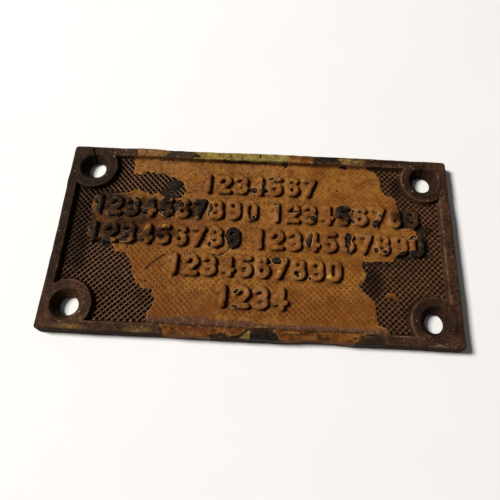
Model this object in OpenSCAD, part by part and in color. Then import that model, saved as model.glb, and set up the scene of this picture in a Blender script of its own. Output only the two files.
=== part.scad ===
// Cast builder's plate from a locomotive: a drafted brass tablet with a raised rim, four corner
// bosses drilled and countersunk for screws, a chequered ground, and what is left of its paint.
// Millimetres. The origin is the middle of the back face, +X runs along the length in reading
// direction, +Y up the plate and +Z out of its face. The lines of raised characters are left bare.

/* [Tablet] */
// Length of the face, between the tops of its drafted sides
face_w = 203.2; // [192:0.1:214]
// Height of the face
face_h = 101; // [95:0.1:110]
// Thickness from the back to the face of the rim
plate_t = 6.35; // [5.6:0.05:8]
// Moulding draft: how far each side spreads from the face to the back
side_draft = 0.6; // [0.2:0.05:1.2]
// Corner radius in plan, at the back
corner_r = 2.4; // [1.6:0.1:5]
// Rounding where the sides meet the face
edge_r = 0.8; // [0.3:0.05:1.2]

/* [Rim and ground] */
// Width of the raised rim, from the face's edge to the ground's wall
rim_w = 4.8; // [4:0.1:7]
// Depth of the ground below the face
ground_depth = 2.2; // [1.5:0.05:2.8]
// Draft of the ground's walls and of the bosses, from the face to the ground
wall_draft = 0.5; // [0.2:0.05:0.8]

/* [Screw holes] */
// Hole centre to the end of the face
hole_inset_x = 12.7; // [11.5:0.1:15]
// Hole centre to the long side of the face
hole_inset_y = 12.4; // [11.5:0.1:15]
// Radius of a boss at the face
boss_r = 12.3; // [11:0.1:14]
// Radius of a screw's clearance bore
bore_r = 4.8; // [3.5:0.1:5.5]
// Radius of a countersink at the face
sink_r = 7.9; // [6.5:0.1:9]
// Depth of a countersink
sink_depth = 4.1; // [2.5:0.1:4.8]

/* [Chequering] */
// Distance between the ridges, square to their length
chequer_pitch = 2.07; // [1.9:0.01:3]
// Width of a ridge's flat top
ridge_w = 0.5; // [0.3:0.05:0.9]
// Depth of the pits between the ridges
pit_depth = 0.7; // [0.3:0.05:0.9]
// Plain ground left round the chequering, at its walls, bosses and paint
plain_margin = 0.3; // [0.1:0.05:1]

/* [Cracks] */
// Width of a crack at the face
crack_w = 0.5; // [0.2:0.05:1]
// Depth of a crack
crack_depth = 2.4; // [1:0.1:3.5]

/* [Paint] */
// Thickness of the last coat, tan over the older coats
tan_t = 0.35; // [0.15:0.05:0.6]
// Thickness of the yellow coat and what is under it
yellow_t = 0.25; // [0.1:0.05:0.5]
// Thickness of the dark undercoat alone
undercoat_t = 0.15; // [0.05:0.05:0.4]
// Gap between the tan coat's edge and the ground's walls and bosses
paint_gap = 0.05; // [0.02:0.01:0.2]

/* [Hidden] */
$fn = 96;
over = 0.5;                                  // how far a cutting shape passes the surface it opens
side_fn = 32;                                // facets round a corner of the tablet
round_steps = 3;                             // steps in the rounded edge of the face

hole_x = face_w / 2 - hole_inset_x;
hole_y = face_h / 2 - hole_inset_y;
hole_centres = [for (sx = [-1, 1], sy = [-1, 1]) [sx * hole_x, sy * hole_y]];

ground_z = plate_t - ground_depth;
wall_lean = wall_draft / ground_depth;       // spread of a wall per millimetre of depth
inner_x = face_w / 2 - rim_w;                // the ground's opening, at the face
inner_y = face_h / 2 - rim_w;
foot_x = inner_x - wall_draft;               // the same, down at the ground
foot_y = inner_y - wall_draft;
boss_foot_r = boss_r + wall_draft;
rim_flat_w = rim_w - edge_r;                 // flat of the rim, clear of the rounded edge

pit_half = (chequer_pitch - ridge_w) / sqrt(2);     // half a pit's diagonal
lattice_step = chequer_pitch / sqrt(2);             // the pits' spacing along X and along Y

// The tan coat still on the ground, anticlockwise from the end of its left arm. Its straight runs
// along the top and the bottom pass under the rim's walls, which trim them.
beyond_y = 60;
field_outline = [
    [-50.5, -beyond_y], [66.5, -beyond_y], [66.3, -44], [65, -42], [61.6, -41], [61, -38],
    [60.6, -33], [60.4, -29.8], [57, -27], [54.3, -24], [52.5, -21.4], [55.8, -18.2],
    [57, -15.7], [55.2, -13.5], [54.3, -10.5], [55, -8.6], [58.4, -9], [64, -8.2],
    [70.3, -8], [71.8, -5], [75, -2.6], [81.6, -1.8], [82.6, 2], [82.8, 8.5], [80.8, 10.2],
    [73.6, 10.2], [74.2, 13], [73.6, 26.6], [71.8, 28.2], [68.4, 29.2], [66.8, 31.2],
    [65.8, 34.5], [65.5, 39.4], [62.8, 42.6], [60, 44.2], [57.8, 46], [57, beyond_y],
    [-68.4, beyond_y], [-68.2, 35.8], [-62.3, 35.4], [-60.8, 36.6], [-51.3, 36.8],
    [-48.6, 35], [-43.2, 34], [-40.2, 31.6], [-37.6, 26.8], [-40.4, 22], [-49.3, 21.4],
    [-52.6, 24.6], [-56.4, 23.4], [-62.8, 26.4], [-67, 25], [-78.5, 22.6], [-86, 21.2],
    [-87, 14], [-85.6, 9], [-86.6, 4], [-86, -0.5], [-84, -3.6], [-80.6, -4], [-78, -1.6],
    [-74.6, -3], [-72, -7], [-69.8, -9.6], [-65, -10.2], [-61.2, -14.6], [-59.2, -23],
    [-55.4, -27.2], [-49.8, -28.6], [-47, -33.6], [-49.6, -40],
];

// The loose flake of the tan coat, curled round the boss of the lower right hole: its corners as
// offsets from the hole's centre
flake_corners = [
    [-24.1, 11.9], [-22.1, 13.5], [-18.9, 13.1], [-16.9, 9.7], [-20.3, 11.2], [-22.7, 10.7],
];
flake_outline = [for (p = flake_corners) [hole_x + p.x, p.y - hole_y]];

// The crack beside each upper hole: its ends as offsets from the hole's centre
crack_left = [[-2.4, 13], [-1.2, 5]];
crack_right = [[0.9, 13], [-0.6, 5]];

// Patches of paint on the rim's face. Each point is a place along X in millimetres, and a share of
// the rim's flat width, from 0 at the ground's wall to 1 at the rounded edge.
top_tan_patch = [
    [-66.1, 0], [-66.9, 0.55], [-67.6, 1], [-48.3, 1], [-50, 0.45], [-52, 0.08], [-52.6, 0],
];
top_undercoat_left_patch = [
    [-51.9, 0], [-51.3, 0.08], [-49.3, 0.45], [-47.6, 1], [-36.3, 1], [-35, 0.78], [-33, 0.5],
    [-32.1, 0.32], [-33.3, 0.2], [-36, 0.25], [-37.9, 0.12], [-37.9, 0],
];
top_yellow_patch = [
    [-37.4, 0], [-36, 0.15], [-33, 0.1], [-31.5, 0.3], [-32.5, 0.52], [-34.5, 0.8], [-35.8, 1],
    [16.4, 1], [16, 0.58], [15.3, 0.15], [14.8, 0],
];
top_orange_patch = [[15.2, 0], [15.8, 0.15], [16.5, 0.58], [16.9, 1], [29.1, 1], [29.3, 0.45], [29.2, 0]];
top_undercoat_right_patch = [[29.8, 0], [30, 0.45], [29.8, 1], [43, 1], [42, 0.6], [42.6, 0.1], [42.3, 0]];
top_crumb_patches = [
    [[43.8, 0.62], [43.2, 0.82], [46, 0.9], [49.8, 0.85], [50, 0.65], [47, 0.55]],
    [[44, 0.2], [44.6, 0.42], [47.6, 0.45], [48.4, 0.25], [46, 0.1]],
    [[51, 0.28], [50.8, 0.78], [53.4, 0.82], [54.8, 0.52], [54, 0.18]],
];
bottom_tan_left_patch = [
    [-43.6, 0], [-42.5, 0.2], [-41, 0.57], [-40.4, 1], [-18.2, 1], [-17.4, 0.82], [-15, 0.95],
    [-12.9, 0.79], [-11.4, 0.77], [-9.8, 0.96], [-7.6, 0.99], [-5.2, 0.95], [-3.7, 0.74],
    [-2.3, 0.36], [-1, 0.06], [-0.8, 0],
];
bottom_yellow_patch = [[-4.6, 1], [-3.1, 0.84], [-1.7, 0.45], [-0.5, 0.15], [0, 0.18], [0.1, 1]];
bottom_undercoat_left_patch = [
    [0.5, 1], [0.5, 0.15], [2.6, 0.04], [6, 0.02], [9, 0.1], [11, 0.3], [12.6, 0.68], [13.6, 1],
];
bottom_tan_right_patch = [
    [9.6, 0], [11.6, 0.27], [13.2, 0.66], [14.2, 1], [49.6, 1], [50.4, 0.85], [52.2, 0.6],
    [54.2, 0.3], [56.2, 0.1], [57.6, 0],
];
bottom_undercoat_right_patch = [
    [50.5, 1], [51.1, 0.88], [52.8, 0.64], [54.8, 0.34], [56.8, 0.14], [58.4, 0.04], [61.4, 0.04],
    [62.4, 0.6], [60.4, 1],
];

// Where a patch's points lie on the rim: side is 1 for the top rim and -1 for the bottom one
function rim_points(patch, side) = [for (p = patch) [p.x, side * (inner_y + p.y * rim_flat_w)]];

// Edges of an outline that a line from a point towards +X crosses
function crossings(pt, outline) = len([
    for (k = [0 : len(outline) - 1])
        let (a = outline[k], b = outline[(k + 1) % len(outline)])
        if ((a.y > pt.y) != (b.y > pt.y) && pt.x < a.x + (b.x - a.x) * (pt.y - a.y) / (b.y - a.y)) k
]);
function inside(pt, outline) = crossings(pt, outline) % 2 == 1;

function on_boss(pt) = min([for (c = hole_centres) norm(pt - c)]) < boss_foot_r + plain_margin;
function in_recess(pt) = abs(pt.x) < foot_x - plain_margin && abs(pt.y) < foot_y - plain_margin;
function painted(pt) = inside(pt, field_outline) || inside(pt, flake_outline);
function bare(pt) = in_recess(pt) && !on_boss(pt) && !painted(pt);

// A pit is made where it lies whole on bare ground
function corners(c, d) = [c, c + [d, 0], c + [0, d], c - [d, 0], c - [0, d]];
function pit_fits(c) = min([for (q = corners(c, pit_half + plain_margin)) bare(q) ? 1 : 0]) == 1;
columns = floor(foot_x / lattice_step);
rows = floor(foot_y / lattice_step);
pit_centres = [
    for (i = [-columns : columns], j = [-rows : rows])
        let (c = [i * lattice_step, j * lattice_step])
        if ((i + j) % 2 == 0 && pit_fits(c)) c
];

// The solid tablet: upright discs at its corners, stacked along the draft and the rounded edge
module tablet() {
    half_w = face_w / 2 + side_draft - corner_r;
    half_h = face_h / 2 + side_draft - corner_r;
    hull()
        for (sx = [-1, 1], sy = [-1, 1]) translate([sx * half_w, sy * half_h]) {
            cylinder(h = over, r = corner_r, $fn = side_fn);
            for (k = [0 : round_steps]) {
                a = 90 * k / round_steps;
                r = corner_r - side_draft - edge_r * (1 - cos(a));
                cylinder(h = plate_t - edge_r * (1 - sin(a)), r = r, $fn = side_fn);
            }
        }
}

// A boss, spreading at its draft from the face down past the ground
module boss_core() {
    low = ground_depth + over;
    translate([0, 0, plate_t - low]) cylinder(h = low, r1 = boss_r + low * wall_lean, r2 = boss_r);
    translate([0, 0, plate_t - over]) cylinder(h = 2 * over, r = boss_r);
}

// What is taken out between the rim and the bosses, down to the ground
module ground_recess() {
    high = over * wall_lean;
    difference() {
        hull() {
            translate([-foot_x, -foot_y, ground_z]) cube([2 * foot_x, 2 * foot_y, over / 100]);
            translate([-inner_x - high, -inner_y - high, plate_t + over])
                cube([2 * (inner_x + high), 2 * (inner_y + high), over / 100]);
        }
        for (c = hole_centres) translate(c) boss_core();
    }
}

// Bore and countersink in one turned shape
module screw_hole() {
    rotate_extrude() polygon([
        [0, -over], [bore_r, -over], [bore_r, plate_t - sink_depth], [sink_r, plate_t],
        [sink_r, plate_t + over], [0, plate_t + over],
    ]);
}

// A crack: a wedge that runs from the edge of the face into the countersink
module crack(ends) {
    run = ends[1] - ends[0];
    translate(ends[0]) rotate(atan2(run.y, run.x)) rotate([90, 0, 90]) linear_extrude(norm(run))
        polygon([
            [0, plate_t - crack_depth], [crack_w / 2, plate_t + over / 10],
            [-crack_w / 2, plate_t + over / 10],
        ]);
}

// One pit of the chequering: a four-sided hollow that comes to a point
module pit() {
    rise = over / 10;
    slope = pit_half / pit_depth;
    translate([0, 0, ground_z - pit_depth])
        cylinder(h = pit_depth + rise, r1 = 0, r2 = pit_half + rise * slope, $fn = 4);
}

// A film of paint on the ground, trimmed to what the rim and the bosses leave
module ground_film(outline, thickness) {
    translate([0, 0, ground_z]) linear_extrude(thickness) difference() {
        intersection() {
            polygon(outline);
            square([2 * (foot_x - paint_gap), 2 * (foot_y - paint_gap)], center = true);
        }
        for (c = hole_centres) translate(c) circle(boss_foot_r + paint_gap);
    }
}

// A patch of paint on the face of the rim
module rim_film(patch, side, thickness) {
    translate([0, 0, plate_t]) linear_extrude(thickness) polygon(rim_points(patch, side));
}

module cast_plate() {
    color("#4a3a2c") difference() {
        tablet();
        ground_recess();
        for (c = hole_centres) translate(c) screw_hole();
        translate([-hole_x, hole_y]) crack(crack_left);
        translate([hole_x, hole_y]) crack(crack_right);
        for (c = pit_centres) translate(c) pit();
    }
}

module field_paint() { color("#9a662c") ground_film(field_outline, tan_t); }
module ground_flake() { color("#a8703a") ground_film(flake_outline, tan_t); }

module top_rim_tan() {
    color("#a5743c") rim_film(top_tan_patch, 1, tan_t);
}
module top_rim_undercoat_left() {
    color("#3b342c") rim_film(top_undercoat_left_patch, 1, undercoat_t);
}
module top_rim_yellow() {
    color("#9c9440") rim_film(top_yellow_patch, 1, yellow_t);
}
module top_rim_orange() {
    color("#8f5a26") rim_film(top_orange_patch, 1, tan_t);
}
module top_rim_undercoat_right() {
    color("#2b2a24") rim_film(top_undercoat_right_patch, 1, undercoat_t);
}
module top_rim_crumbs() {
    color("#a08a34") for (patch = top_crumb_patches) rim_film(patch, 1, yellow_t);
}

module bottom_rim_tan_left() {
    color("#8a5423") rim_film(bottom_tan_left_patch, -1, tan_t);
}
module bottom_rim_yellow() {
    color("#9a9238") rim_film(bottom_yellow_patch, -1, yellow_t);
}
module bottom_rim_undercoat_left() {
    color("#2c2b25") rim_film(bottom_undercoat_left_patch, -1, undercoat_t);
}
module bottom_rim_tan_right() {
    color("#8a5423") rim_film(bottom_tan_right_patch, -1, tan_t);
}
module bottom_rim_undercoat_right() {
    color("#2b241c") rim_film(bottom_undercoat_right_patch, -1, undercoat_t);
}

cast_plate();
field_paint();
ground_flake();
top_rim_tan();
top_rim_undercoat_left();
top_rim_yellow();
top_rim_orange();
top_rim_undercoat_right();
top_rim_crumbs();
bottom_rim_tan_left();
bottom_rim_yellow();
bottom_rim_undercoat_left();
bottom_rim_tan_right();
bottom_rim_undercoat_right();
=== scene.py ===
"""Dresses the cast plate: the casting with its chequered ground and raised figures, and the
remains of its paint as films of their own. Lengths are in millimetres until a mesh is made."""
import math
from functools import reduce
import bpy
import numpy as np
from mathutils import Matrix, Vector
from mathutils.geometry import delaunay_2d_cdt


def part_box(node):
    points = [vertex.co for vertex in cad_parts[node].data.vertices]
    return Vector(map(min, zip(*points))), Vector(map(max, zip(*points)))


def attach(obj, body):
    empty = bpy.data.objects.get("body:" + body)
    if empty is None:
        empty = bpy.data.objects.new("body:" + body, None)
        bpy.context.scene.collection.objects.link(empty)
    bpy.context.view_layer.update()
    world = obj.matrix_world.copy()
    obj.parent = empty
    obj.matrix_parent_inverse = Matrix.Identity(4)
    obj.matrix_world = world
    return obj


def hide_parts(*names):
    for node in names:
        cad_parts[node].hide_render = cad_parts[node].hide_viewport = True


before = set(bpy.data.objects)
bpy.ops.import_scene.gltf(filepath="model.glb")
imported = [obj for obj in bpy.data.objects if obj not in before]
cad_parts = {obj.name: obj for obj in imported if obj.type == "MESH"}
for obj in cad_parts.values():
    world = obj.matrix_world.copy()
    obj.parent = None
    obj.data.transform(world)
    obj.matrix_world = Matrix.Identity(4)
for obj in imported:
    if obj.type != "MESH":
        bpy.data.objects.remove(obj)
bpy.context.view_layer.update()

MM = 0.001

# The casting's sizes, from the frame where it holds them
back_low, back_high = (np.array(corner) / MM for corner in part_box("cast_plate"))
BACK_W, BACK_H, FACE = back_high - back_low
SIDE_DRAFT = 0.6
CORNER_R = 2.4
FACE_W, FACE_H = BACK_W - 2 * SIDE_DRAFT, BACK_H - 2 * SIDE_DRAFT
RIM_W = 4.8
GROUND_DEPTH = 2.2
GROUND = FACE - GROUND_DEPTH
INNER_X, INNER_Y = FACE_W / 2 - RIM_W, FACE_H / 2 - RIM_W
HOLE_INSET_X, HOLE_INSET_Y = 12.7, 12.4
HOLE_X, HOLE_Y = FACE_W / 2 - HOLE_INSET_X, FACE_H / 2 - HOLE_INSET_Y
HOLES = [(sx * HOLE_X, sy * HOLE_Y) for sx in (-1, 1) for sy in (-1, 1)]
HOLE_SIDES = 64
BOSS_R = 12.3
BORE_R = 4.8

# The chequering: pits between ridges that run at 45 degrees
PITCH = 2.07
PIT_STEP = PITCH / math.sqrt(2)
PIT_DEPTH = 0.75

# Slopes of the casting as (distance, height) tables. Heights are above the face, or for the
# figures above the ground. Distances are from the recess's line, from the back's outline, from
# a hole's centre and from the edge of a figure's stroke.
RECESS = (
    (-0.6, 0), (-0.3, -0.03), (-0.1, -0.13), (0.05, -0.38), (0.4, -1.7), (0.55, -1.96), (0.85, -2.14),
    (1.3, -2.2),
)
EDGE = ((0.64, -0.62), (0.74, -0.36), (0.92, -0.17), (1.15, -0.05), (1.5, 0))
SINK = (
    (4.8, -4.1), (4.95, -4.02), (5.7, -3), (6.7, -1.68), (7.5, -0.66), (7.8, -0.33), (8.1, -0.13),
    (8.5, -0.02), (8.9, 0),
)
FIGURE = ((-0.6, 1.8), (-0.25, 1.7), (-0.02, 1.48), (0.3, 0.55), (0.5, 0.2), (0.85, 0))
PAINTED_FIGURE = (
    (-0.9, 2.2), (-0.5, 2.12), (-0.15, 1.96), (0.1, 1.62), (0.3, 1.08), (0.5, 0.68), (0.9, 0.4),
    (1.5, 0.35),
)
# The same from the middle of a pit, as shares of its depth, where the ridges are sharp or worn
SHARP_PIT = ((0.48, -1), (0.74, -0.6), (0.9, -0.08), (PITCH / 2, 0))
WORN_PIT = ((0.25, -1), (0.58, -0.5), (0.82, -0.16), (PITCH / 2, 0))
# The side and the bores below those slopes: distance from the outline or the centre, and height
LOW_SIDE = ((0.6, FACE - 0.9), (0.3, FACE / 2), (0.06, 0.45), (0.02, 0.18), (0.16, 0))
LOW_BORE = ((BORE_R, 1.1), (BORE_R, 0.2), (BORE_R + 0.15, 0))

# The lines of plain counting figures: height on the plate, both ends, and the figures
LINES = (
    (31, -30.5, 31, "1234567"),
    (15.8, -86.5, 84.5, "1234567890 123456789"),
    (0.5, -86.5, 86.5, "123456789 1234567890"),
    (-14.9, -43.5, 43.8, "1234567890"),
    (-30.4, -18.2, 17.6, "1234"),
)
FIGURE_H = 11.2
STROKE = 2.5
FIGURE_GAP = 1.55
WORD_GAP = 0.5


def smooth(low, high, value):
    """0 below low, 1 above high and an even curve between."""
    t = np.clip((value - low) / (high - low), 0, 1)
    return t * t * (3 - 2 * t)


def bell(distance, width):
    """1 where a distance is zero, falling away on both sides over a width."""
    return np.exp(-(distance / width) ** 2)


def profile(table, distance):
    d, z = zip(*table)
    return np.interp(distance, d, z)


def between(table, u, v, eased=False):
    """A table read between its entries, along straight or eased lines."""
    i, j = np.floor(u).astype(int), np.floor(v).astype(int)
    s, t = u - i, v - j
    if eased:
        s, t = s * s * (3 - 2 * s), t * t * (3 - 2 * t)
    low = table[j, i] * (1 - s) + table[j, i + 1] * s
    high = table[j + 1, i] * (1 - s) + table[j + 1, i + 1] * s
    return low * (1 - t) + high * t


def lumps(seed, cell):
    """A smooth random field from -1 to 1, whose lumps are about cell millimetres across."""
    reach = 110.0
    n = int(2 * reach / cell) + 4
    table = np.random.default_rng(seed).uniform(-1, 1, (n, n))
    return lambda x, y: between(table, (x + reach) / cell, (y + reach) / cell, eased=True)


# A grid over the plate, on which outlines of any shape are held as fields
STEP = 0.2
GRID_X = np.arange(-104, 104 + STEP, STEP)
GRID_Y = np.arange(-53, 53 + STEP, STEP)
XX, YY = np.meshgrid(GRID_X, GRID_Y)


def sample(field, x, y):
    """A grid field read between its points."""
    u = np.clip((x - GRID_X[0]) / STEP, 0, len(GRID_X) - 1.001)
    v = np.clip((y - GRID_Y[0]) / STEP, 0, len(GRID_Y) - 1.001)
    return between(field, u, v)


def window(low, high):
    """The rows and columns of the grid between two corners."""
    return tuple(slice(*np.searchsorted(axis, [low[k], high[k]])) for k, axis in ((1, GRID_Y), (0, GRID_X)))


def to_segment(x, y, a, b):
    """Distance from points to the stretch from a to b."""
    dx, dy = b[0] - a[0], b[1] - a[1]
    t = np.clip(((x - a[0]) * dx + (y - a[1]) * dy) / max(dx * dx + dy * dy, 1e-9), 0, 1)
    return np.hypot(x - a[0] - t * dx, y - a[1] - t * dy)


def to_lines(x, y, *lines):
    """Distance from points to the nearest of some lines."""
    ends = [(a, b) for line in lines for a, b in zip(line[:-1], line[1:])]
    return reduce(np.minimum, (to_segment(x, y, a, b) for a, b in ends))


def enclosed(x, y, loop):
    """True for points inside a closed line, which have an odd number of its sides on their right."""
    odd = np.zeros(x.shape, bool)
    for a, b in zip(loop, np.roll(loop, -1, 0)):
        if a[1] != b[1]:
            crossed = (a[1] > y) != (b[1] > y)
            odd ^= crossed & (x < a[0] + (b[0] - a[0]) * (y - a[1]) / (b[1] - a[1]))
    return odd


def outline_field(points):
    """Distance to an outline over the grid, positive inside it. Far from it the value is only rough."""
    p = np.array(points, float)
    margin = 8
    part = window(p.min(0) - margin, p.max(0) + margin)
    x, y = XX[part], YY[part]
    near = to_lines(x, y, [*p, p[0]])
    field = np.full(XX.shape, -float(margin))
    field[part] = np.where(enclosed(x, y, p), near, -near)
    return field


def outline_fields(outlines):
    """The same for several outlines together."""
    return reduce(np.maximum, map(outline_field, outlines))


def inset_field(mask, reach):
    """Distance in from the edge of a mask on the grid, up to reach."""
    far = np.where(mask, reach, 0.0)
    for _ in range(int(reach / STEP) + 1):
        for dy, dx in ((0, 1), (1, 0), (1, 1), (1, -1)):
            for way in (1, -1):
                moved = np.roll(far, (way * dy, way * dx), (0, 1)) + STEP * math.hypot(dx, dy)
                far = np.minimum(far, moved)
    return np.where(mask, far, 0.0)


def level_lines(field, level, spacing):
    """Closed lines along which a grid field has a level, as points about spacing apart."""
    f = field - level
    f = np.where(f == 0, 1e-9, f)
    f[0], f[-1], f[:, 0], f[:, -1] = -1, -1, -1, -1
    inside = f > 0
    corners_in = inside[:-1, :-1].astype(int) + inside[1:, :-1] + inside[:-1, 1:] + inside[1:, 1:]
    # Each side of a cell that the line crosses, by its two grid points, with the sides linked to it
    links = {}
    for j, i in np.argwhere((corners_in > 0) & (corners_in < 4)).tolist():
        corners = ((j, i), (j, i + 1), (j + 1, i + 1), (j + 1, i))
        sides = [tuple(sorted(ends)) for ends in zip(corners, corners[1:] + corners[:1])]
        sides = [(a, b) for a, b in sides if inside[a] != inside[b]]
        # Where the line crosses a cell twice, the cell's middle says which sides belong together
        if len(sides) == 4 and (f[j : j + 2, i : i + 2].mean() > 0) != inside[j, i]:
            sides = [sides[0], sides[3], sides[1], sides[2]]
        for a, b in zip(sides[::2], sides[1::2]):
            links.setdefault(a, []).append(b)
            links.setdefault(b, []).append(a)

    def place(side):
        (j, i), (next_j, next_i) = side
        t = STEP * f[j, i] / (f[j, i] - f[next_j, next_i])
        return GRID_X[i] + t * (next_i - i), GRID_Y[j] + t * (next_j - j)

    lines = []
    while links:
        line, here = [], next(iter(links))
        while here in links:
            line.append(place(here))
            ahead = links.pop(here)
            here = next((side for side in ahead if side in links), None)
        lines.append(resampled(np.array(line), spacing))
    return [line for line in lines if len(line) > 4]


def resampled(line, spacing):
    """A closed line with points at even distances."""
    closed = np.vstack([line, line[:1]])
    run = np.concatenate([[0], np.cumsum(np.hypot(*np.diff(closed, axis=0).T))])
    n = max(int(run[-1] / spacing), 3)
    at = np.arange(n) * run[-1] / n
    return np.stack([np.interp(at, run, closed[:, k]) for k in (0, 1)], 1)


def clipped(lines, keep):
    """The stretches of closed lines that a test keeps, as open chains, or whole where it keeps all."""
    chains = []
    for line in lines:
        kept = keep(*line.T)
        if kept.all():
            chains.append((line, True))
        elif kept.any():
            turn = int(np.argmin(kept))
            line, kept = np.roll(line, -turn, 0), np.roll(kept, -turn)
            ends = np.flatnonzero(np.diff(np.concatenate([[0], kept.astype(int), [0]])))
            chains += [(line[a:b], False) for a, b in ends.reshape(-1, 2) if b - a > 1]
    return chains


def triangulated(points, chains):
    """Triangles over loose points and chains of points, with every chain kept as edges."""
    coords, edges, start = [points], [], len(points)
    for chain, closed in chains:
        index = start + np.arange(len(chain))
        edges.append(np.stack([index[:-1], index[1:]], 1))
        if closed:
            edges.append([[index[-1], index[0]]])
        coords.append(chain)
        start += len(chain)
    flat = [Vector(p) for p in np.vstack(coords).tolist()]
    result = delaunay_2d_cdt(flat, np.vstack(edges).tolist(), [], 0, 1e-4, False)
    return np.array([tuple(v) for v in result[0]], float), np.array(result[2], int)


def inside_loops(points, field, loops):
    """True for points inside the loops that bound a grid field's positive part."""
    value = sample(field, *points.T)
    inside = value > 0
    unsure = np.abs(value) < 0.5
    inside[unsure] = False
    for loop in loops:
        boxed = ((points > loop.min(0)) & (points < loop.max(0))).all(1)
        near = np.flatnonzero(unsure & boxed)
        inside[near] ^= enclosed(*points[near].T, loop)
    return inside


# The forms of the casting

def hole_distance(x, y):
    return np.hypot(np.abs(x) - HOLE_X, np.abs(y) - HOLE_Y)


def recess_inset(x, y):
    """How far inside the recess's line at the face a point lies."""
    straight = np.minimum(INNER_X - np.abs(x), INNER_Y - np.abs(y))
    return np.minimum(straight, hole_distance(x, y) - BOSS_R)


def back_inset(x, y):
    """How far inside the back's outline a point lies."""
    qx, qy = np.abs(x) - BACK_W / 2 + CORNER_R, np.abs(y) - BACK_H / 2 + CORNER_R
    outside = np.hypot(np.maximum(qx, 0), np.maximum(qy, 0))
    return CORNER_R - outside - np.minimum(np.maximum(qx, qy), 0)


def figure_strokes():
    """Centre lines of the ten figures, in a box of half width 1 and half height 1."""
    def arc(cx, cy, rx, ry, start, end):
        n = max(int(abs(end - start) / 15), 2)
        a = np.radians(np.linspace(start, end, n + 1))
        return list(zip(cx + rx * np.cos(a), cy + ry * np.sin(a)))

    top, bowl = arc(0, 0.45, 1, 0.55, 35, 180), arc(0, -0.45, 1, 0.55, 180, 360)
    six = top + bowl + arc(0, -0.45, 1, 0.55, 0, 180)
    return {
        "0": [arc(0, 0.42, 1, 0.58, 0, 180) + arc(0, -0.42, 1, 0.58, 180, 360) + [(1, 0.42)]],
        "1": [[(-0.55, 0.6), (0.15, 1), (0.15, -1)]],
        "2": [arc(0, 0.42, 1, 0.58, 165, -25) + [(-1, -1), (1, -1)]],
        "3": [arc(-0.1, 0.48, 1, 0.52, 150, -90), arc(-0.1, -0.48, 1.1, 0.52, 90, -150)],
        "4": [[(0.45, -1), (0.45, 1), (-1, -0.45), (1.1, -0.45)]],
        "5": [[(0.9, 1), (-0.8, 1), (-0.85, 0.12)] + arc(-0.05, -0.42, 1.05, 0.58, 120, -150)],
        "6": [six],
        "7": [[(-1, 1), (1, 1), (-0.3, -1)]],
        "8": [arc(0, 0.48, 0.85, 0.52, 0, 360), arc(0, -0.48, 1, 0.52, 0, 360)],
        "9": [[(-x, -y) for x, y in six]],
    }


def figure_places():
    """Each figure with its centre and half width, from the lines' ends."""
    for y, start, end, text in LINES:
        units = len(text) - (1 - WORD_GAP) * text.count(" ")
        pitch = (end - start + FIGURE_GAP) / units
        wide = pitch - FIGURE_GAP
        x = start
        for letter in text:
            if letter == " ":
                x += WORD_GAP * pitch
                continue
            yield letter, np.array([x + wide / 2, y]), (wide - STROKE) / 2
            x += pitch


def figure_field():
    """Distance outside the figures' strokes over the grid, negative within them."""
    far = 4.0
    field = np.full(XX.shape, far)
    strokes = figure_strokes()
    for letter, centre, half_w in figure_places():
        half = np.array([half_w, (FIGURE_H - STROKE) / 2])
        part = window(centre - half - STROKE - far, centre + half + STROKE + far)
        gap = to_lines(XX[part], YY[part], *(centre + half * stroke for stroke in strokes[letter]))
        field[part] = np.minimum(field[part], gap - STROKE / 2)
    return field


figures = figure_field() + 0.17 * lumps(14, 1.5)(XX, YY)

# The cracks from the top edge into the upper countersinks, as centre lines
CRACKS = (
    ((-91.3, 49.9), (-91, 47.5), (-90.1, 45.6), (-89.9, 43)),
    ((89.8, 49.9), (89.4, 47.6), (88.9, 45.8), (88.5, 43.2)),
)
CRACK_HALF = 0.4
CRACK_SIDES = (-CRACK_HALF, 0, CRACK_HALF)
CRACK_DEPTH = 2.0


def crack_height(x, y):
    """The cracks' floor, above the face: zero away from them."""
    return np.minimum(-CRACK_DEPTH * (1 - to_lines(x, y, *CRACKS) / CRACK_HALF), 0)


ground_lumps = lumps(11, 2.6)
broad_lumps = lumps(12, 9.0)
pocks = lumps(13, 1.1)


def runs(x, y):
    """Places along both diagonals, counted in ridges, with whole numbers in the middles of pits."""
    return (x + y) / math.sqrt(2) / PITCH, (x - y) / math.sqrt(2) / PITCH


def pit_offsets(x, y):
    """Distances from the middle of the nearest pit, square to the two runs of ridges."""
    return tuple(np.abs(u - np.round(u)) * PITCH for u in runs(x, y))


def cell_lumps(x, y, seed):
    """One random value from -1 to 1 for each cell of the chequering."""
    cells = 300
    table = np.random.default_rng(seed).uniform(-1, 1, (cells, cells))
    return table[tuple(np.round(u).astype(int) + cells // 2 for u in runs(x, y))]


def rubbed_round(x):
    """0 where the chequering's ridges are sharp and 1 on the right, where they are rubbed to knobs."""
    return smooth(48, 62, x)


def pit_depth(x, y):
    """How far the chequering lies below the tops of its crossings."""
    a, b = pit_offsets(x, y)
    off, worn = np.maximum(a, b), rubbed_round(x)
    share = (1 - worn) * profile(SHARP_PIT, off) + worn * profile(WORN_PIT, off)
    saddle = smooth(0.85, 0.1, np.minimum(a, b)) * (0.05 + worn * np.where(a > b, 0.42, 0.36))
    uneven = 1 + 0.15 * cell_lumps(x, y, 24) * (share < -0.5)
    return saddle - PIT_DEPTH * share * uneven


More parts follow.
